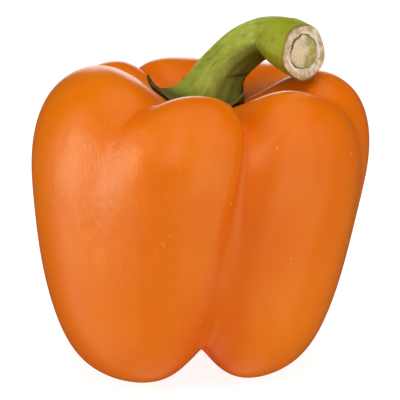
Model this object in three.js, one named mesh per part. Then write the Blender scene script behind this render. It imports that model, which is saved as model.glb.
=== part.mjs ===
import * as THREE from "three";

// Bell pepper, upright on its blossom end. Millimetres, +Z up, the front is -Y.
// The widest part of the fruit is 90 mm across, the size of a large blocky market pepper.
// A direction round the fruit is in degrees: 0 is the front, 90 the right, -90 the left.

// Cage of the fruit's profile, in levels from the middle of the blossom end, out over the foot,
// up the side to the shoulder, over the crest and down into the hollow round the stem
const LEVEL_RADIUS = [0, 8, 19, 31.5, 37.5, 41, 44, 46.5, 43, 28, 15, 7.5, 0];
const LEVEL_HEIGHT = [9.5, 7.5, -3.2, 1, 14, 29.5, 45, 60, 74.5, 80.5, 73, 70, 69.8];
const TOP_LEVEL = LEVEL_RADIUS.length - 1;

// The levels at which lobes and grooves give their values: blossom end, foot, side, shoulder,
// crest, hollow and the stem's seat
const CREST_LEVEL = 9;
const STATIONS = [0, 2.2, 5, 7.3, CREST_LEVEL, 10.5, TOP_LEVEL];

// Lobes: reach scales the radius at foot, side, shoulder and crest; lift raises foot, shoulder, crest
const LOBES = [
  { direction: -76, reach: [1.08, 1.07, 0.955, 0.8], lift: [0, 2, 4.4] },
  { direction: -8, reach: [1.1, 1.03, 1, 1.02], lift: [0, 0, 2.1] },
  { direction: 51, reach: [0.81, 0.98, 1.01, 1.02], lift: [0.1, 0, 0.3] },
  { direction: 96, reach: [0.97, 0.96, 1.045, 1.06], lift: [1.3, 2, 8.2] },
  { direction: 140, reach: [1, 1, 1, 1], lift: [0.8, 0, -0.4] },
  { direction: 178, reach: [1, 1, 1, 1], lift: [0.1, 0, -8.5] },
  { direction: -157, reach: [1, 1, 1, 1], lift: [0.2, 0, 3.9] },
  { direction: -136, reach: [1, 1, 1, 1.05], lift: [1.5, 1.5, 4.3] },
];
const LOBE_SHARPNESS = 3.5;

// Grooves between the lobes: direction, depth, lean, softness and width, each one number all the way
// or five for foot, side, shoulder, crest and hollow. A lean, in degrees, turns the groove's bed
// under the lobe on its left.
const GROOVES = [
  {
    direction: [-1, 17, 26.5, 28, 26],
    depth: [14, 5.5, 10.5, 10.5, 3.5],
    lean: [0, 2, 8, 6, 0],
    softness: [3, 7, 2, 1.5, 2],
    width: [14, 12, 9, 9.5, 10],
  },
  {
    direction: [80, 78, 72, 68, 72],
    depth: [0.5, 0.3, 2, 7, 2],
    lean: 0,
    softness: [5, 5, 4, 3, 5],
    width: 11,
  },
  { direction: [116, 115, 114, 113, 112], depth: [7, 4, 6, 8, 3], lean: 0, softness: 3, width: 12 },
  { direction: -146, depth: [6, 3.5, 5, 5.2, 3], lean: 0, softness: [3, 3, 3, 1, 3], width: [12, 12, 10, 7, 8] },
  { direction: [-108, -110, -112, -113, -114], depth: [3, 1.5, 2, 5, 2], lean: 0, softness: 4, width: 11 },
  {
    direction: [-38, -38, -36, -26, -22],
    depth: [0, 0.3, 3.2, 6.5, 2],
    lean: 0,
    softness: [7, 7, 5, 4, 4],
    width: 12,
  },
];

// Calyx: a thin star of five sepals that follows the hollow, its tips curled up
const CALYX_GAP = 0.4;
const CALYX_THICKNESS = 1.1;
const CALYX_RIM_RADIUS = 12;
const SEPAL_COUNT = 5;
const SEPAL_LENGTH = 3.6;
const SEPAL_TAPER = 3;
const SEPAL_CURL = 2;
const FIRST_SEPAL_DIRECTION = -90;
const UNDERSIDE_SHARES = [0.2, 0.4, 0.6, 0.8, 0.95];
const TOPSIDE_SHARES = [0.95, 0.85];
const RIM_HEIGHT = CALYX_GAP + 0.3 * CALYX_THICKNESS;

// Stem: centre line and radius, from its seat in the calyx to the cut end
const STEM_PATH = [
  [3, 0, 71.2], [4.2, 0.5, 75.8], [7.2, 2, 80.7], [11.4, 3.3, 84.7],
  [15.2, 3.3, 87.2], [18.5, 1.2, 88.4], [22, -4, 87.7], [26.7, -10, 86],
];
const STEM_RADIUS = [8, 7.2, 6, 5.8, 5.5, 5.4, 6.8, 7.3];
const STEM_FACING = [-0.4, -0.9, 0];

// Neck: it leaves the calyx at a share of its rim radius, a little over its top side, bends at a ring
// of the stem that is spread out, and joins the shaft at a share of the stem's length
const NECK_START = 0.74;
const NECK_START_HEIGHT = CALYX_GAP + 1.3 * CALYX_THICKNESS;
const NECK_BEND = 0.03;
const NECK_SPREAD = 1.12;
const NECK_END = 0.16;
const NECK_SHARES = [0, 0.25, 0.5, 0.75];

// Lengthwise ridges of the stem: share of its radius, how much they fade towards the end, their twist
const STEM_RIDGE = 0.06;
const RIDGE_FADE = 0.03;
const RIDGE_TWIST = 8;

// Cut end: the way its plane faces, from which share of the stem the rings turn to it, how far the
// pith sits aside of the middle, and share of the radius and height over the plane from edge to pith
const CUT_FACING = [0.64, -0.76, 0.09];
const CUT_TURN_START = 0.8;
const PITH_ASIDE = [0.43, 0.35, 0.42];
const CUT_FACE = [[0.95, 0.25], [0.72, 0.2], [0.66, -0.5], [0.58, 0.15], [0.3, 0.5]];
const PITH_CROWN = 0.05;

// Columns of the skin follow the front groove, so that one of them runs along its bed
const BED_DIRECTION = 120 / 7;
const AROUND_FRUIT = 84;
const ROWS_FRUIT = 40;
const AROUND_STEM = 60;
const ROWS_STEM = 21;
const STEP = 0.001;

const radians = THREE.MathUtils.degToRad;

// Value of a cage at height t: a cubic B-spline, mirrored past both ends (odd for radii, even for others)
function along(cage, t, mirrorSign) {
  const first = Math.min(Math.floor(t), TOP_LEVEL - 1);
  const f = t - first;
  const weights = [(1 - f) ** 3, 3 * f ** 3 - 6 * f ** 2 + 4, -3 * f ** 3 + 3 * f ** 2 + 3 * f + 1, f ** 3];
  let sum = 0;
  weights.forEach((weight, k) => {
    const level = first - 1 + k;
    const outside = level < 0 || level > TOP_LEVEL;
    const inside = TOP_LEVEL - Math.abs(TOP_LEVEL - Math.abs(level));
    sum += (weight / 6) * cage[inside] * (outside ? mirrorSign : 1);
  });
  return sum;
}

// Spread values given at the stations over every level of the cage
function overLevels(values) {
  return LEVEL_RADIUS.map((_, level) => {
    let k = 0;
    while (k < STATIONS.length - 2 && level > STATIONS[k + 1]) {
      k += 1;
    }
    const share = (level - STATIONS[k]) / (STATIONS[k + 1] - STATIONS[k]);
    return THREE.MathUtils.lerp(values[k], values[k + 1], share);
  });
}

// A value of a groove over every level; one that fades is nothing at both poles
function grooveCage(values, fades) {
  const five = [values].flat().length === 5 ? values : Array(5).fill(values);
  return overLevels([fades ? 0 : five[0], ...five, fades ? 0 : five[4]]);
}

const lobeCages = LOBES.map(({ direction, reach, lift }) => ({
  direction: radians(direction),
  reach: overLevels([reach[0], reach[0], reach[1], reach[2], reach[3], reach[3], 1]),
  lift: overLevels([0.3 * lift[0], lift[0], 0.3 * lift[0], lift[1], lift[2], 0.25 * lift[2], 0]),
}));
const grooveCages = GROOVES.map(({ direction, depth, lean, softness, width }) => ({
  direction: grooveCage(direction, false),
  depth: grooveCage(depth, true),
  lean: grooveCage(lean, true),
  softness: grooveCage(softness, false),
  width: grooveCage(width, false),
}));

// One meridian of the fruit before its grooves: direction in radians, radius and height cages
function meridian(direction) {
  const shares = lobeCages.map((lobe) => Math.exp(LOBE_SHARPNESS * (Math.cos(direction - lobe.direction) - 1)));
  const whole = shares.reduce((a, b) => a + b);
  const mix = (key, level) => lobeCages.reduce((sum, lobe, k) => sum + (shares[k] / whole) * lobe[key][level], 0);
  return {
    direction,
    radius: LEVEL_RADIUS.map((radius, level) => radius * mix("reach", level)),
    height: LEVEL_HEIGHT.map((height, level) => height + mix("lift", level)),
  };
}

// A point of the fruit's skin, moved out by a distance along its own normal
function skinPoint(line, t, outward) {
  const low = Math.max(t - STEP, 0);
  const high = Math.min(t + STEP, TOP_LEVEL);
  const rise = along(line.height, high, 1) - along(line.height, low, 1);
  const spread = along(line.radius, high, -1) - along(line.radius, low, -1);
  const length = Math.hypot(rise, spread);
  let depth = -outward;
  let turn = 0;
  grooveCages.forEach((groove) => {
    const apart = THREE.MathUtils.radToDeg(line.direction) - along(groove.direction, t, 1);
    const nearest = THREE.MathUtils.euclideanModulo(apart + 180, 360) - 180;
    const softness = along(groove.softness, t, 1);
    const share = Math.exp((softness - Math.hypot(nearest, softness)) / along(groove.width, t, 1));
    depth += along(groove.depth, t, 1) * share;
    turn += along(groove.lean, t, 1) * share ** 1.5;
  });
  const radius = Math.max(along(line.radius, t, -1) - (rise / length) * depth, 0);
  const height = along(line.height, t, 1) + (spread / length) * depth;
  const direction = line.direction - radians(turn);
  return new THREE.Vector3(radius * Math.sin(direction), -radius * Math.cos(direction), height);
}

// The height t in the hollow at which a meridian has a given radius
function levelAtRadius(line, radius) {
  let low = CREST_LEVEL;
  let high = TOP_LEVEL;
  for (let k = 0; k < 30; k += 1) {
    const middle = (low + high) / 2;
    const point = skinPoint(line, middle, 0);
    if (Math.hypot(point.x, point.y) > radius) {
      low = middle;
    } else {
      high = middle;
    }
  }
  return low;
}

// A closed body from rings of points and the two points that close its ends
function closedBody(name, rings, start, end, material) {
  const around = rings[0].length;
  const points = [start, ...rings.flat(), end];
  const last = points.length - 1;
  const index = [];
  for (let j = 0; j < around; j += 1) {
    const next = (j + 1) % around;
    index.push(0, 1 + next, 1 + j);
    for (let i = 0; i < rings.length - 1; i += 1) {
      const a = 1 + i * around;
      const b = a + around;
      index.push(a + j, a + next, b + next, a + j, b + next, b + j);
    }
    const top = 1 + (rings.length - 1) * around;
    index.push(top + j, top + next, last);
  }
  const geometry = new THREE.BufferGeometry().setFromPoints(points);
  geometry.setIndex(index);
  geometry.computeVertexNormals();
  const mesh = new THREE.Mesh(geometry, material);
  mesh.name = name;
  return mesh;
}

// Fruit: one grown body, flat where its feet touch the ground
const fruitRings = [];
for (let row = 1; row < ROWS_FRUIT; row += 1) {
  const t = (TOP_LEVEL * row) / ROWS_FRUIT;
  const drift = along(grooveCages[0].direction, t, 1) - BED_DIRECTION;
  fruitRings.push(Array.from({ length: AROUND_FRUIT }, (_, column) => {
    const direction = (2 * Math.PI * column) / AROUND_FRUIT;
    const nearBed = Math.max(0, Math.cos(direction - radians(BED_DIRECTION))) ** 2;
    const point = skinPoint(meridian(direction + radians(drift * nearBed)), t, 0);
    return point.setZ(Math.max(point.z, 0));
  }));
}
const blossomEnd = new THREE.Vector3(0, 0, along(LEVEL_HEIGHT, 0, 1));
const stemSeat = new THREE.Vector3(0, 0, along(LEVEL_HEIGHT, TOP_LEVEL, 1));
const fruit = closedBody("fruit", fruitRings, blossomEnd, stemSeat, new THREE.MeshStandardMaterial({
  color: 0xe2701e,
  roughness: 0.3,
  metalness: 0,
}));

// Stem and calyx: one grown body
const stemLines = Array.from({ length: AROUND_STEM }, (_, j) => meridian((2 * Math.PI * j) / AROUND_STEM));

function sepalShare(direction) {
  const pitch = 360 / SEPAL_COUNT;
  const turned = THREE.MathUtils.radToDeg(direction) - FIRST_SEPAL_DIRECTION + pitch / 2;
  const apart = Math.abs(THREE.MathUtils.euclideanModulo(turned, pitch) - pitch / 2);
  return (1 - apart / (pitch / 2)) ** SEPAL_TAPER;
}

// A ring of the calyx at a share of its rim radius and a height over the fruit's skin
function calyxRing(share, height) {
  return stemLines.map((line) => {
    const radius = share * (CALYX_RIM_RADIUS + SEPAL_LENGTH * sepalShare(line.direction));
    const beyond = Math.max(0, (radius - CALYX_RIM_RADIUS) / SEPAL_LENGTH);
    return skinPoint(line, levelAtRadius(line, radius), height + SEPAL_CURL * beyond ** 2);
  });
}

const stemPoints = STEM_PATH.map((point) => new THREE.Vector3(...point));
const stemCurve = new THREE.CatmullRomCurve3(stemPoints, false, "catmullrom", 0.5);
const radiusLine = STEM_RADIUS.map((radius) => new THREE.Vector3(radius, 0, 0));
const radiusCurve = new THREE.CatmullRomCurve3(radiusLine, false, "catmullrom", 0.5);
const pithAside = new THREE.Vector3(...PITH_ASIDE);

// A ring of the stem at a share of its length; for the cut face narrowed, pushed past the end and aside
function stemRing(share, narrow = 1, past = 0, aside = 0) {
  const turned = Math.max(0, (share - CUT_TURN_START) / (1 - CUT_TURN_START));
  const forward = stemCurve.getTangent(share).lerp(new THREE.Vector3(...CUT_FACING), turned).normalize();
  const centre = stemCurve.getPoint(share).addScaledVector(forward, past).addScaledVector(pithAside, aside);
  const facing = new THREE.Vector3(...STEM_FACING).projectOnPlane(forward).normalize();
  const across = new THREE.Vector3().crossVectors(forward, facing);
  const radius = radiusCurve.getPoint(share).x * narrow;
  const facingDirection = Math.atan2(STEM_FACING[0], -STEM_FACING[1]);
  const ridge = (STEM_RIDGE - RIDGE_FADE * share) * narrow ** 4;
  return stemLines.map((line) => {
    const angle = line.direction - facingDirection;
    const ridgeAngle = line.direction - radians(FIRST_SEPAL_DIRECTION + RIDGE_TWIST * share);
    const reach = radius * (1 + ridge * Math.cos(SEPAL_COUNT * ridgeAngle));
    return centre.clone()
      .addScaledVector(facing, reach * Math.cos(angle))
      .addScaledVector(across, reach * Math.sin(angle));
  });
}

const underside = UNDERSIDE_SHARES.map((share) => calyxRing(share, CALYX_GAP));
const rim = [calyxRing(1, RIM_HEIGHT)];
const topside = TOPSIDE_SHARES.map((share) => calyxRing(share, CALYX_GAP + CALYX_THICKNESS));

// The neck sweeps from the calyx up into the stem on a quadratic curve
const neckStart = calyxRing(NECK_START, NECK_START_HEIGHT);
const neckTurn = stemRing(NECK_BEND, NECK_SPREAD);
const neckEnd = stemRing(NECK_END);
const neck = NECK_SHARES.map((s) => neckStart.map((from, j) => from.clone()
  .multiplyScalar((1 - s) ** 2)
  .addScaledVector(neckTurn[j], 2 * s * (1 - s))
  .addScaledVector(neckEnd[j], s ** 2)));
const shaft = [];
for (let row = 0; row <= ROWS_STEM; row += 1) {
  shaft.push(stemRing(NECK_END + ((1 - NECK_END) * row) / ROWS_STEM));
}
const cut = CUT_FACE.map(([share, height]) => stemRing(1, share, height, 1 - share));
const pithMiddle = stemCurve.getPoint(1)
  .addScaledVector(new THREE.Vector3(...CUT_FACING).normalize(), CUT_FACE.at(-1)[1] + PITH_CROWN)
  .add(pithAside);
const underMiddle = stemSeat.clone().setZ(stemSeat.z + CALYX_GAP);
const stem = closedBody(
  "stem",
  [...underside, ...rim, ...topside, ...neck, ...shaft, ...cut],
  underMiddle,
  pithMiddle,
  new THREE.MeshStandardMaterial({ color: 0x8f9c37, roughness: 0.55, metalness: 0 }),
);

// The origin is on the ground under the middle of the whole
const group = new THREE.Group();
group.name = "bell_pepper";
group.add(fruit, stem);
const box = new THREE.Box3().setFromObject(group, true);
const middle = box.getCenter(new THREE.Vector3());
group.position.set(-middle.x, -middle.y, -box.min.z);

export default group;
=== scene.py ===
import bpy
import numpy as np
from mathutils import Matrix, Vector


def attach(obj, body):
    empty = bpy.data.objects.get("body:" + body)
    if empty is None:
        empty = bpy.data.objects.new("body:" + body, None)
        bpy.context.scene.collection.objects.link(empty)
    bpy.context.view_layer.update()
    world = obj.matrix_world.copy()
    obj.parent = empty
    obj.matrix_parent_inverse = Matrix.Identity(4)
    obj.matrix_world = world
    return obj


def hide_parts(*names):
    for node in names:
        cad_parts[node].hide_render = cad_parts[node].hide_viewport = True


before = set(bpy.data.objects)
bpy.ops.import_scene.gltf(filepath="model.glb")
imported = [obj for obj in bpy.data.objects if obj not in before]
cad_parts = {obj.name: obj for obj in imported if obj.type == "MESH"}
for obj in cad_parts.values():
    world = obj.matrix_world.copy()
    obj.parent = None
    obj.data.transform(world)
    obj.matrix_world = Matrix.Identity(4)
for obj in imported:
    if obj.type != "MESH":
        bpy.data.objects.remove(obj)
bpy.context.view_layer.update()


# Fruit: one grown body of fleshy lobes, with a deep leaning groove in front and five shallower ones round it.
# Its skin is a profile from the blossom end to the seat of the stem, spread round by the lobes, with grooves
# pressed in along its normal. 0 degrees is the front, and lengths are millimetres until a mesh is made.
level_radius = np.array([0, 8, 19, 31.5, 37.5, 41, 44, 46.5, 43, 28, 15, 7.5, 0])
level_height = np.array([9.5, 7.5, -3.2, 1, 14, 29.5, 45, 60, 74.5, 80.5, 73, 70, 69.8])
top_level = len(level_radius) - 1
levels = np.arange(top_level + 1)
stations = [0, 2.2, 5, 7.3, 9, 10.5, top_level]

# direction; reach at foot, side, shoulder, crest; lift of foot, shoulder, crest
lobes = [
    (-76, (1.08, 1.07, 0.955, 0.8), (0, 2, 4.4)),
    (-8, (1.1, 1.03, 1, 1.02), (0, 0, 2.1)),
    (51, (0.81, 0.98, 1.01, 1.02), (0.1, 0, 0.3)),
    (96, (0.97, 0.96, 1.045, 1.06), (1.3, 2, 8.2)),
    (140, (1, 1, 1, 1), (0.8, 0, -0.4)),
    (178, (1, 1, 1, 1), (0.1, 0, -8.5)),
    (-157, (1, 1, 1, 1), (0.2, 0, 3.9)),
    (-136, (1, 1, 1, 1.05), (1.5, 1.5, 4.3)),
]
lobe_sharpness = 3.5

# direction, depth, lean, softness and width at foot, side, shoulder, crest and hollow
grooves = [
    ((-1, 13.5, 26, 28, 26), (14, 5.5, 10.5, 10.5, 3.5),
     (0, 2, 8, 6, 0), (3, 7, 2, 1.5, 2), (14, 12, 9, 9.5, 10)),
    ((80, 78, 72, 68, 72), (0.5, 0.3, 2, 7, 2), 0, (5, 5, 4, 3, 5), 11),
    ((116, 115, 114, 113, 112), (7, 4, 6, 8, 3), 0, 3, 12),
    (-146, (6, 3.5, 5, 5.2, 3), 0, (3, 3, 3, 1, 3), (12, 12, 10, 7, 8)),
    ((-108, -110, -112, -113, -114), (3, 1.5, 2, 5, 2), 0, 4, 11),
    ((-38, -38, -36, -26, -22), (0, 0.3, 3.2, 6.5, 2), 0, (7, 7, 5, 4, 4), 12),
]


def level_shares(t, mirror):
    """Share of every level of the profile at each height t: a cubic B-spline, mirrored past both ends."""
    first = np.minimum(np.floor(t).astype(int), top_level - 1)
    f = t - first
    weights = [(1 - f) ** 3, 3 * f**3 - 6 * f**2 + 4, -3 * f**3 + 3 * f**2 + 3 * f + 1, f**3]
    shares = np.zeros((len(t), top_level + 1))
    for k, weight in enumerate(weights):
        level = first - 1 + k
        outside = (level < 0) | (level > top_level)
        inside = top_level - np.abs(top_level - np.abs(level))
        np.add.at(shares, (np.arange(len(t)), inside), weight / 6 * np.where(outside, mirror, 1))
    return shares


def over_levels(*values):
    return np.interp(levels, stations, values)


lobe_reach = np.array([
    over_levels(foot, foot, side, shoulder, crest, crest, 1) for _, (foot, side, shoulder, crest), _ in lobes
])
lobe_lift = np.array([
    over_levels(0.3 * foot, foot, 0.3 * foot, shoulder, crest, 0.25 * crest, 0)
    for _, _, (foot, shoulder, crest) in lobes
])


def groove_cage(values, fades):
    first, *others, last = np.broadcast_to(values, 5)
    return over_levels(0 if fades else first, first, *others, last, 0 if fades else last)


groove_cages = [[groove_cage(values, k in (1, 2)) for k, values in enumerate(groove)] for groove in grooves]


lobe_direction = np.radians([lobe[0] for lobe in lobes])
slope_step = 0.001


def skin(direction, t, outward=0.0):
    """Points of the skin at directions in radians and heights t, moved outward, and the depth of grooves."""
    direction, t = np.broadcast_arrays(np.asarray(direction, float), np.asarray(t, float))
    share = np.exp(lobe_sharpness * (np.cos(direction[:, None] - lobe_direction) - 1))
    share /= share.sum(1, keepdims=True)
    radius_cage = level_radius * (share @ lobe_reach)
    height_cage = level_height + share @ lobe_lift

    def profile(at):
        r = (level_shares(at, -1) * radius_cage).sum(1)
        return r, (level_shares(at, 1) * height_cage).sum(1)

    low, high = profile(np.maximum(t - slope_step, 0)), profile(np.minimum(t + slope_step, top_level))
    spread, rise = high[0] - low[0], high[1] - low[1]
    length = np.hypot(spread, rise)
    radius, height = profile(t)
    even = level_shares(t, 1)
    depth, turn, bed = -np.asarray(outward, float), 0.0, 0.0
    for cages in groove_cages:
        middle, pressed, leaned, soft, width = (even @ cage for cage in cages)
        nearest = (np.degrees(direction) - middle + 180) % 360 - 180
        near = np.exp((soft - np.hypot(nearest, soft)) / width)
        bed = bed + pressed * near
        turn = turn + leaned * near**1.5
    depth = depth + bed
    radius = np.maximum(radius - rise / length * depth, 0)
    height = height + spread / length * depth
    round_to = direction - np.radians(turn)
    return np.stack([radius * np.sin(round_to), -radius * np.cos(round_to), height], 1), bed


def closed_mesh(name, rings, start, end):
    """A closed mesh in metres from rings of points and the two points that close its ends."""
    around = len(rings[0])
    points = np.concatenate([[start], *rings, [end]]) / 1000
    j = np.arange(around)
    nxt = (j + 1) % around
    faces = [np.stack([0 * j, 1 + nxt, 1 + j], 1).tolist()]
    for i in range(len(rings) - 1):
        a = 1 + i * around
        faces.append(np.stack([a + j, a + nxt, a + around + nxt, a + around + j], 1).tolist())
    top = 1 + (len(rings) - 1) * around
    faces.append(np.stack([top + j, top + nxt, 0 * j + len(points) - 1], 1).tolist())
    mesh = bpy.data.meshes.new(name)
    mesh.from_pydata(points.tolist(), [], [face for group in faces for face in group])
    mesh.shade_smooth()
    return mesh


def put_attribute(mesh, name, values):
    kind, field = ("FLOAT_VECTOR", "vector") if np.ndim(values) == 2 else ("FLOAT", "value")
    layer = mesh.attributes.new(name, kind, "POINT")
    layer.data.foreach_set(field, np.ravel(values).astype(np.float32))


# The columns follow the front groove, so that the overhanging lobe keeps a clean edge
columns, rows, bed_column = 336, 220, 16
bed_direction = 360 * bed_column / columns
column_direction = 2 * np.pi * np.arange(columns) / columns
near_bed = np.maximum(0, np.cos(column_direction - np.radians(bed_direction))) ** 2
fruit_rings, fruit_beds = [], [np.zeros(1)]
for row in range(1, rows):
    t = np.full(columns, top_level * row / rows)
    drift = level_shares(t, 1) @ groove_cages[0][0] - bed_direction
    ring, bed = skin(column_direction + np.radians(drift) * near_bed, t)
    ring[:, 2] = np.maximum(ring[:, 2], 0)
    fruit_rings.append(ring)
    fruit_beds.append(bed)
blossom_end = [0, 0, level_shares(np.zeros(1), 1)[0] @ level_height]
stem_seat = [0, 0, level_shares(np.array([float(top_level)]), 1)[0] @ level_height]
fruit_mesh = closed_mesh("fruit_skin", fruit_rings, blossom_end, stem_seat)
put_attribute(fruit_mesh, "bed", np.concatenate([*fruit_beds, np.zeros(1)]))
fruit = bpy.data.objects.new("fruit_skin", fruit_mesh)
bpy.context.scene.collection.objects.link(fruit)


class Value:
    """A socket of a shader tree: sums on it add Math nodes, and make() adds any other node."""

    def __init__(self, socket):
        self.socket = socket
        self.tree = socket.id_data

    def sum(self, operation, other, swapped=False):
        first, second = (other, self) if swapped else (self, other)
        return make(self.tree, "ShaderNodeMath", {"operation": operation}, {0: first, 1: second})

    def __add__(self, other):
        return self.sum("ADD", other)

    def __radd__(self, other):
        return self.sum("ADD", other)

    def __sub__(self, other):
        return self.sum("SUBTRACT", other)

    def __rsub__(self, other):
        return self.sum("SUBTRACT", other, swapped=True)

    def __mul__(self, other):
        return self.sum("MULTIPLY", other)

    def __rmul__(self, other):
        return self.sum("MULTIPLY", other)

    def between(self, low, high, to_low=0.0, to_high=1.0):
        settings = {"interpolation_type": "SMOOTHSTEP"}
        given = {"Value": self, "From Min": low, "From Max": high, "To Min": to_low, "To Max": to_high}
        return make(self.tree, "ShaderNodeMapRange", settings, given)

    def stretched(self, x, y, z):
        return make(self.tree, "ShaderNodeVectorMath", {"operation": "MULTIPLY"}, {0: self, 1: (x, y, z)})


def make(tree, kind, settings, given, output=0):
    """A new node: its settings first, then the values or links of its sockets; returns one of its outputs."""
    node = tree.nodes.new(kind)
    for name, value in settings.items():
        setattr(node, name, value)
    for name, value in given.items():
        if isinstance(value, Value):
            tree.links.new(value.socket, node.inputs[name])
        else:
            node.inputs[name].default_value = value
    return Value(node.outputs[output]) if node.outputs else None


def noise(place, scale, detail=3.0, roughness=0.5):
    given = {"Vector": place, "Scale": scale, "Detail": detail, "Roughness": roughness}
    return make(place.tree, "ShaderNodeTexNoise", {"noise_dimensions": "3D"}, given)


def read_attribute(tree, name, output):
    return make(tree, "ShaderNodeAttribute", {"attribute_name": name}, {}, output)


def mix(share, low, high):
    return make(share.tree, "ShaderNodeMix", {"data_type": "RGBA"}, {0: share, 6: low, 7: high}, 2)


def colour(red, green, blue):
    """A display colour, 0 to 255, as the linear values a shader takes."""
    shares = [c / 255 for c in (red, green, blue)]
    return (*[s / 12.92 if s <= 0.04045 else ((s + 0.055) / 1.055) ** 2.4 for s in shares], 1.0)


def start_material(name):
    material = bpy.data.materials.new(name)
    material.use_nodes = True
    material.node_tree.nodes.clear()
    return material, material.node_tree


def finish_material(tree, given):
    surface = make(tree, "ShaderNodeBsdfPrincipled", {}, given)
    make(tree, "ShaderNodeOutputMaterial", {}, {"Surface": surface})


# The skin is waxy and translucent: orange with yellower patches, fine scratches near the left shoulder, pale
# specks, red-orange in the grooves that is partly its own colour and partly painted shade, and painted shade
# near the ground
skin_material, tree = start_material("orange_skin")
place = make(tree, "ShaderNodeTexCoord", {}, {}, "Object")
bed = read_attribute(tree, "bed", "Fac")
height = make(tree, "ShaderNodeSeparateXYZ", {}, {0: place}, 2)
broad = noise(place, 22, detail=2)
patchy = noise(place.stretched(1, 1, 0.45), 70, detail=4, roughness=0.6)
fine = noise(place, 900, detail=3, roughness=0.65)
orange = mix(broad.between(0.35, 0.68), colour(228, 107, 2), colour(233, 118, 7))
orange = mix(patchy.between(0.45, 0.75) * 0.35, orange, colour(241, 130, 17))
# Painted shade: the skin is darker in colour near the ground
orange = mix(height.between(0.02, 0.002) * 0.3, orange, colour(196, 86, 3))
# Red-orange along the grooves, more so low down: partly the skin's own colour, partly painted shade
orange = mix(bed.between(1.2, 6.0) * height.between(0.075, 0.03, 0.12, 0.6), orange, colour(216, 84, 1))
# Dark red where the deep groove meets the ground: partly the skin's deeper colour, partly painted shade in
# the crease
orange = mix(height.between(0.012, 0.0) * bed.between(3, 9) * 0.7, orange, colour(168, 40, 8))
cells_given = {"Vector": place, "Scale": 260.0}
speck_cells = make(tree, "ShaderNodeTexVoronoi", {"feature": "F1"}, cells_given)
speck_pick = make(tree, "ShaderNodeTexVoronoi", {"feature": "F1"}, cells_given, "Color")
picked = make(tree, "ShaderNodeSeparateColor", {}, {0: speck_pick}).between(0.96, 0.97)
specks = speck_cells.between(0.11, 0.05) * picked
left_shoulder = (-0.02, -0.034, 0.054)
scratch_way = noise(place, 30, detail=1)
scratch_place = make(tree, "ShaderNodeVectorRotate", {"rotation_type": "AXIS_ANGLE"}, {
    "Vector": place, "Center": left_shoulder, "Axis": (0.0, 1.0, 0.0),
    "Angle": (scratch_way - 0.5) * 1.8 + 0.35,
})
scratch = noise(scratch_place.stretched(6, 6, 1), 260, detail=2, roughness=0.5)
from_shoulder = make(tree, "ShaderNodeVectorMath", {"operation": "DISTANCE"}, {0: place, 1: left_shoulder}, 1)
scratch_patch = from_shoulder.between(0.032, 0.014) * noise(place, 120, detail=2).between(0.35, 0.55)
scratches = scratch.between(0.62, 0.7) * (scratch_patch + 0.02)
orange = mix(specks * 0.7, orange, colour(246, 176, 110))
orange = mix(scratches * 0.15, orange, colour(244, 160, 96))
rough = 0.18 + patchy * 0.06 + scratches * 0.1 + fine * 0.04
dents = noise(place, 55, detail=2) * 0.6 + noise(place.stretched(1, 1, 0.3), 160, detail=2) * 0.12
surface = dents + fine * 0.003 + scratch * scratch_patch * 0.6
bump = make(tree, "ShaderNodeBump", {}, {"Strength": 0.25, "Distance": 0.0015, "Height": surface})
finish_material(tree, {
    "Base Color": orange, "Roughness": rough, "Normal": bump,
    "IOR": 1.42, "Specular Tint": (0.5, 1.0, 0.7, 1.0),
    "Coat Weight": 0.12, "Coat Roughness": 0.08, "Coat IOR": 1.3,
    "Subsurface Weight": 0.08, "Subsurface Radius": (1.0, 0.4, 0.1), "Subsurface Scale": 0.002,
})
fruit_mesh.materials.append(skin_material)
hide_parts("fruit")
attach(fruit, "root")

# Stem and calyx: one grown woody body, fixed to the fruit in the hollow at its top. A star of five curled
# sepals follows the hollow, a neck sweeps up from it, and a ridged bent shaft ends in a flare cut across.
around_stem = 200
stem_direction = 2 * np.pi * np.arange(around_stem) / around_stem
sepals, first_sepal = 5, -90
half_apart = 180 / sepals
sepal_apart = np.abs((np.degrees(stem_direction) - first_sepal + half_apart) % (2 * half_apart) - half_apart)
sepal = (1 - sepal_apart / half_apart) ** 3
calyx_radius, sepal_reach, sepal_curl, crest_level, halvings = 12, 3.6, 2, 9.0, 26


def calyx_ring(share, height):
    """A ring of the calyx at a height over the skin, found where the skin has the ring's radius."""
    radius = share * (calyx_radius + sepal_reach * sepal)
    low, high = np.full(around_stem, crest_level), np.full(around_stem, float(top_level))
    for _ in range(halvings):
        middle = (low + high) / 2
        point = skin(stem_direction, middle)[0]
        outside = np.hypot(point[:, 0], point[:, 1]) > radius
        low, high = np.where(outside, middle, low), np.where(outside, high, middle)
    beyond = np.maximum(0, (radius - calyx_radius) / sepal_reach)
    return skin(stem_direction, low, height + sepal_curl * beyond**2)[0]


stem_path = np.array([
    [3, 0, 71.2], [4.2, 0.5, 75.8], [7.2, 2, 80.7], [11.4, 3.3, 84.7],
    [15.2, 3.3, 87.2], [18.5, 1.2, 88.4], [22, -4, 87.7], [26.7, -10, 86],
])
stem_radius = np.array([8, 7.2, 6, 5.8, 5.5, 5.4, 6.8, 7.3])
stem_facing = np.array([-0.4, -0.9, 0])
cut_facing = np.array([0.64, -0.76, 0.09])
pith_aside = np.array([0.62, 0.5, 0.6])
turn_from, turn_over = 0.8, 0.2
ridge_count, ridge_depth, ridge_fade, ridge_from, ridge_twist, fine_depth = 5, 0.06, 0.03, -90, 8, 0.012


def on_curve(values, share):
    """Point and slope of a Catmull-Rom curve through the values, its ends carried on straight."""
    carried = np.concatenate([[2 * values[0] - values[1]], values, [2 * values[-1] - values[-2]]])
    first = min(int(share * (len(values) - 1)), len(values) - 2)
    f = share * (len(values) - 1) - first
    a, b, c, d = carried[first:first + 4]
    point = (2 * b + (c - a) * f + (2 * a - 5 * b + 4 * c - d) * f**2 + (3 * b - a - 3 * c + d) * f**3) / 2
    slope = ((c - a) + 2 * (2 * a - 5 * b + 4 * c - d) * f + 3 * (3 * b - a - 3 * c + d) * f**2) / 2
    return point, slope


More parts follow.
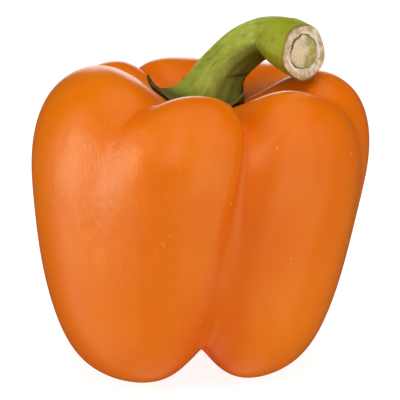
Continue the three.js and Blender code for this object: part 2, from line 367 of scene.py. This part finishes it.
def stem_ring(share, narrow=1.0, past=0.0, aside=0.0):
    """A ring of the shaft at a share of its length, narrowed, moved past its end and moved aside."""
    centre, forward = on_curve(stem_path, share)
    forward = forward / np.linalg.norm(forward)
    forward = forward + (cut_facing - forward) * max(0, (share - turn_from) / turn_over)
    forward = forward / np.linalg.norm(forward)
    facing = stem_facing - forward * (stem_facing @ forward)
    facing = facing / np.linalg.norm(facing)
    across = np.cross(forward, facing)
    angle = stem_direction - np.arctan2(stem_facing[0], -stem_facing[1])
    ridge_angle = stem_direction - np.radians(ridge_from + ridge_twist * share)
    ridges = (ridge_depth - ridge_fade * share) * np.cos(ridge_count * ridge_angle)
    furrows = fine_depth * np.cos(3 * ridge_count * ridge_angle + 1) * min(1, 4 * (1 - share))
    reach = on_curve(stem_radius, share)[0] * narrow * (1 + (ridges + furrows) * narrow**4)
    rays = np.cos(angle)[:, None] * facing + np.sin(angle)[:, None] * across
    return centre + reach[:, None] * rays + forward * past + aside * pith_aside


skin_gap = 0.4
underside = [calyx_ring(share, skin_gap) for share in np.linspace(0.1, 0.95, 10)]
rim = [calyx_ring(share, height) for share, height in ((0.985, 0.45), (1.0, 0.75), (0.985, 1.15))]
topside = [calyx_ring(share, 1.5) for share in np.linspace(0.95, 0.8, 8)]
# The neck is a quadratic curve between three rings: on the calyx, where it turns, and on the shaft
neck_top = 0.16
neck_start, neck_turn, neck_end = calyx_ring(0.74, 1.83), stem_ring(0.03, 1.12), stem_ring(neck_top)
neck_shares = np.linspace(0, 0.95, 16)
neck = [(1 - s) ** 2 * neck_start + 2 * s * (1 - s) * neck_turn + s**2 * neck_end for s in neck_shares]
shaft_shares = np.linspace(neck_top, 1, 110)
shaft = [stem_ring(share) for share in shaft_shares]
# Rings of the cut face: share of the end's radius and height over it, down into the gap round the pith
cut_profile = [
    (0.985, 0.16), (0.95, 0.25), (0.86, 0.24), (0.72, 0.2), (0.69, 0.05), (0.66, -0.5), (0.62, -0.3),
    (0.58, 0.15), (0.5, 0.28), (0.4, 0.4), (0.3, 0.48), (0.2, 0.52), (0.1, 0.54),
]
waves = np.sin(3 * stem_direction + 1) + np.sin(7 * stem_direction + 4) + np.sin(13 * stem_direction + 2)
pith_off, wave_depth, rim_share = 0.7, 0.015, cut_profile[0][0]
cut = []
for share, height in cut_profile:
    shrunk = 1 + wave_depth * waves * min(1, 6 * (rim_share - share))
    cut.append(stem_ring(1, share * shrunk, height, pith_off * (1 - share)))
pith_middle = stem_path[-1] + 0.55 * cut_facing + pith_off * pith_aside
underside_middle = [0, 0, stem_seat[2] + skin_gap]
stem_rings = [*underside, *rim, *topside, *neck, *shaft, *cut]
stem_mesh = closed_mesh("stem_and_calyx", stem_rings, underside_middle, pith_middle)

# What the materials read: share of the length grown, share of the radius, sepal, fibre, and how far each
# point faces the lower side, where shade is painted
leafy = len(underside) + len(rim) + len(topside)
grown = [0.0] * leafy + list(np.linspace(0, neck_top, len(neck))) + list(shaft_shares) + [1.0] * len(cut)
middle_share = [1.0] * (len(stem_rings) - len(cut)) + [share for share, _ in cut_profile]
sepal_share = [1.0] * leafy + list(np.linspace(1, 0, len(neck)) ** 1.5) + [0.0] * (len(shaft) + len(cut))
fibre, lower = [], [[0]]
lower_way = np.array([0.85, -0.1, -0.5])
for share, ring in zip(grown, stem_rings):
    along = np.full(around_stem, 8 * share)
    fibre.append(np.stack([np.sin(stem_direction), np.cos(stem_direction), along], 1))
    rays = ring - ring.mean(0)
    lower.append(rays @ lower_way / np.linalg.norm(rays, axis=1))
put_attribute(stem_mesh, "lower", np.concatenate([*lower, [0]]))
put_attribute(stem_mesh, "grown", np.concatenate([[0], np.repeat(grown, around_stem), [1]]))
put_attribute(stem_mesh, "middle", np.concatenate([[1], np.repeat(middle_share, around_stem), [0]]))
put_attribute(stem_mesh, "sepal", np.concatenate([[1], np.repeat(sepal_share, around_stem), [0]]))
put_attribute(stem_mesh, "fibre", np.concatenate([[[0, 0, 0]], *fibre, [[0, 0, 8]]]))
stem = bpy.data.objects.new("stem_and_calyx", stem_mesh)
bpy.context.scene.collection.objects.link(stem)

# The stem's bark is satin yellow-green with darker streaks, with painted shade on its lower side and a fold
# across the bend whose crease has painted shade; the calyx is deep green
stem_material, tree = start_material("green_stem")
place = make(tree, "ShaderNodeTexCoord", {}, {}, "Object")
grown_at = read_attribute(tree, "grown", "Fac")
sepal_at = read_attribute(tree, "sepal", "Fac")
along_fibre = read_attribute(tree, "fibre", "Vector")
streak = noise(along_fibre.stretched(1, 1, 0.25), 5, detail=4, roughness=0.6)
thin_streak = noise(along_fibre.stretched(1, 1, 0.12), 16, detail=3, roughness=0.6)
blotch = noise(place, 160, detail=4, roughness=0.6)
grain = noise(place, 1500, detail=2)
streaks = streak.between(0.3, 0.7) * 0.4 + blotch.between(0.3, 0.7) * 0.6
green = mix(streaks, colour(118, 130, 24), colour(172, 180, 74))
green = mix(thin_streak.between(0.5, 0.7) * 0.2, green, colour(188, 192, 100))
green = mix(grown_at.between(0.72, 0.92) * 0.75, green, colour(142, 150, 8))
# Painted shade: the lower right side of the neck and shaft is darkened in colour
lower_at = read_attribute(tree, "lower", "Fac")
shade = lower_at.between(-0.35, 0.65) * grown_at.between(0.86, 0.66)
green = mix(shade * 0.88, green, colour(80, 78, 12))
rise = make(tree, "ShaderNodeSeparateXYZ", {}, {0: place}, 2) + blotch * 0.002
# A fold across the bend: pressed in by the bump, and darkened in colour on its lower side as painted shade in
# its crease
fold_with_painted_shade = rise.between(0.0784, 0.0797) * rise.between(0.0803, 0.0797) * lower_at.between(0.1, 0.6)
green = mix(fold_with_painted_shade * 0.7, green, colour(50, 44, 8))
speckle = noise(place, 300, detail=5, roughness=0.65)
green = mix(speckle.between(0.5, 0.7) * 0.5, green, colour(94, 104, 24))
sepal_green = mix(blotch.between(0.4, 0.6), colour(40, 62, 20), colour(84, 78, 30))
green = mix(sepal_at.between(0.1, 0.9), green, sepal_green)
cut_edge = grown_at + (blotch - 0.5) * 0.06
green = mix(cut_edge.between(0.975, 0.997) * 0.75, green, colour(128, 92, 44))
rough = 0.4 + blotch * 0.2 + thin_streak * 0.1
relief = streak * 0.3 + thin_streak * 0.15 + grain * 0.06 + blotch * 0.5 - fold_with_painted_shade * 0.8
bump = make(tree, "ShaderNodeBump", {}, {"Strength": 0.6, "Distance": 0.0006, "Height": relief})
finish_material(tree, {
    "Base Color": green, "Roughness": rough, "Normal": bump, "IOR": 1.4, "Subsurface Weight": 0.15,
    "Subsurface Radius": (0.5, 0.6, 0.2), "Subsurface Scale": 0.002,
})

# The cut face has a dry tan rind and a pale ring of shrunken tissue round an olive pith, paler to its left
cut_material, tree = start_material("cut_face")
place = make(tree, "ShaderNodeTexCoord", {}, {}, "Object")
middle_at = read_attribute(tree, "middle", "Fac")
mottle = noise(place, 420, detail=4, roughness=0.65)
cells = noise(place, 1400, detail=3, roughness=0.6)
side = make(tree, "ShaderNodeSeparateXYZ", {}, {0: place}, 0)
wavy = middle_at + (mottle - 0.5) * 0.14 + (noise(place, 170, detail=3) - 0.5) * 0.3
rind = mix(mottle.between(0.35, 0.65), colour(184, 150, 106), colour(232, 212, 182))
rind = mix(noise(place, 300, detail=4, roughness=0.65).between(0.52, 0.66) * 0.6, rind, colour(150, 112, 72))
rind = mix(wavy.between(0.93, 1.0), rind, colour(122, 90, 50))
pith = mix(mottle.between(0.35, 0.65), colour(146, 128, 62), colour(188, 178, 104))
pale_side = (side + (noise(place, 260, detail=3) - 0.5) * 0.008).between(0.0288, 0.0258)
pale_pith = mix(cells.between(0.3, 0.7), colour(214, 192, 152), colour(232, 212, 178))
pith = mix(pale_side * 0.9, pith, pale_pith)
face = mix(wavy.between(0.58, 0.61), pith, colour(118, 94, 56))
face = mix(wavy.between(0.64, 0.66), face, colour(240, 232, 214))
face = mix(wavy.between(0.7, 0.75), face, rind)
relief = mottle * 0.6 + cells * 0.4
bump = make(tree, "ShaderNodeBump", {}, {"Strength": 0.7, "Distance": 0.0005, "Height": relief})
finish_material(tree, {"Base Color": face, "Roughness": 0.6 + cells * 0.2, "Normal": bump})

stem_mesh.materials.append(stem_material)
stem_mesh.materials.append(cut_material)
first_cut_face = around_stem * (len(stem_rings) - len(cut) + 1)
face_slots = np.zeros(len(stem_mesh.polygons), dtype=np.int32)
face_slots[first_cut_face:] = 1
stem_mesh.polygons.foreach_set("material_index", face_slots)
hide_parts("stem")
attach(stem, "root")

# Both pieces move as one, so that the origin is on the ground under the middle of the whole
corners = np.array([[*o.bound_box[0], *o.bound_box[6]] for o in (fruit, stem)])
low, high = corners[:, :3].min(0), corners[:, 3:].max(0)
shift = Vector((-(low[0] + high[0]) / 2, -(low[1] + high[1]) / 2, 0))
for piece in (fruit, stem):
    for vertex in piece.data.vertices:
        vertex.co += shift

# Floor: plain and white, running out of sight. The gloss of the part doesn't show it, and shows the soft
# boxes below it instead
floor_reach = 4
floor_corners = [(x * floor_reach, y * floor_reach, 0) for x, y in ((-1, -1), (1, -1), (1, 1), (-1, 1))]
floor_mesh = bpy.data.meshes.new("floor")
floor_mesh.from_pydata(floor_corners, [], [(0, 1, 2, 3)])
floor = bpy.data.objects.new("floor", floor_mesh)
bpy.context.scene.collection.objects.link(floor)
floor_material, tree = start_material("pale_floor")
finish_material(tree, {"Base Color": (0.25, 0.25, 0.25, 1), "Roughness": 0.9,
                       "Emission Color": (1, 1, 1, 1), "Emission Strength": 0.88})
floor_mesh.materials.append(floor_material)
floor.visible_glossy = False

# Soft boxes: a wide dark sphere round the part, seen by its gloss alone, with windows that glow and have
# soft edges. Glow, directions and elevations that each reaches over, and width of its edge, in degrees
windows = [
    (0.5, (-124, -38), (-66, 54), 16),
    (0.6, (-114, -38), (-34, 54), 14),
    (3.65, (-102, -56), (-18, 30), 12),
    (1.0, (-48, 4), (0, 50), 12),
    (1.5, (-34, -12), (6, 62), 8),
    (0.85, (-1, 60), (-24, 60), 8),
    (0.5, (1, 90), (-52, 60), 9),
    (0.4, (-400, 400), (50, 120), 12),
    (0.4, (-400, 400), (-120, -60), 12),
    (1.5, (166, 214), (-8, 22), 8),
    (1.4, (-196, -165), (-8, 22), 8),
]
sphere_radius, sphere_middle, sphere_end, steps_round, steps_up = 3, 0.045, 88, 120, 59
round_it, up_it = np.linspace(-180, 180, steps_round + 1), np.linspace(-sphere_end, sphere_end, steps_up + 1)
across, tall = np.meshgrid(round_it, up_it)
glow = np.zeros(across.shape)
for strength, (left, right), (bottom, top), edge in windows:
    inside = np.minimum(np.minimum(across - left, right - across), np.minimum(tall - bottom, top - tall))
    glow += strength * np.clip(inside / edge, 0, 1)
flat = sphere_radius * np.cos(np.radians(tall))
spots = np.stack([
    flat * np.sin(np.radians(across)), -flat * np.cos(np.radians(across)),
    sphere_radius * np.sin(np.radians(tall)) + sphere_middle,
], 2)
corner = ((steps_round + 1) * np.arange(steps_up)[:, None] + np.arange(steps_round)).ravel()
panes = np.stack([corner, corner + 1, corner + steps_round + 2, corner + steps_round + 1], 1)
sphere_mesh = bpy.data.meshes.new("soft_boxes")
sphere_mesh.from_pydata(spots.reshape(-1, 3).tolist(), [], panes.tolist())
put_attribute(sphere_mesh, "glow", glow.ravel())
sphere_material, tree = start_material("soft_boxes")
glow_at = read_attribute(tree, "glow", "Color")
finish_material(tree, {"Base Color": (0, 0, 0, 1), "Emission Color": glow_at, "Emission Strength": 1.0})
sphere_material.cycles.emission_sampling = "NONE"
sphere_mesh.materials.append(sphere_material)
sphere = bpy.data.objects.new("soft_boxes", sphere_mesh)
bpy.context.scene.collection.objects.link(sphere)
sphere.visible_camera = sphere.visible_diffuse = sphere.visible_shadow = False

# Lamps: soft panels that light the colours and never show in the gloss. Name, place, width, height, watts
lamps = [
    ("left", (-0.85, -0.15, 0.3), 0.9, 0.6, 2.6),
    ("front", (-0.1, -0.95, 0.4), 1.0, 0.5, 1.9),
    ("right", (0.45, -0.75, 0.3), 0.7, 0.6, 0.45),
    ("behind", (0.0, 0.9, 0.35), 1.2, 0.5, 1.8),
    ("above", (0.0, -0.2, 0.9), 1.0, 1.0, 7.4),
    ("far_right", (0.85, -0.1, 0.4), 0.8, 0.6, 2.1),
]
lamp_aim = Vector((0, 0, 0.05))
for name, spot, wide, high, watts in lamps:
    lamp_data = bpy.data.lights.new(name, "AREA")
    lamp_data.shape = "RECTANGLE"
    lamp_data.size, lamp_data.size_y, lamp_data.energy = wide, high, watts
    lamp = bpy.data.objects.new(name, lamp_data)
    lamp.visible_glossy = False
    lamp.location = spot
    lamp.rotation_euler = (lamp_aim - lamp.location).to_track_quat("-Z", "Y").to_euler()
    bpy.context.scene.collection.objects.link(lamp)
world = bpy.data.worlds.new("studio")
world.use_nodes = True
background = world.node_tree.nodes["Background"]
background.inputs["Color"].default_value = (1, 1, 1, 1)
background.inputs["Strength"].default_value = 0.01
bpy.context.scene.world = world
bpy.context.scene.view_settings.view_transform = "Standard"

# Camera: a long lens 14 degrees above level, aimed at the middle of the fruit
camera_data = bpy.data.cameras.new("camera")
camera_data.lens = 202.5
camera = bpy.data.objects.new("camera", camera_data)
raised, distance, fruit_middle = np.radians(14), 0.6, 0.0444
back = Vector((0, -np.cos(raised), np.sin(raised)))
camera.location = Vector((0, 0, fruit_middle)) + shift + back * distance
camera.rotation_euler = (-back).to_track_quat("-Z", "Y").to_euler()
bpy.context.scene.collection.objects.link(camera)
bpy.context.scene.camera = camera
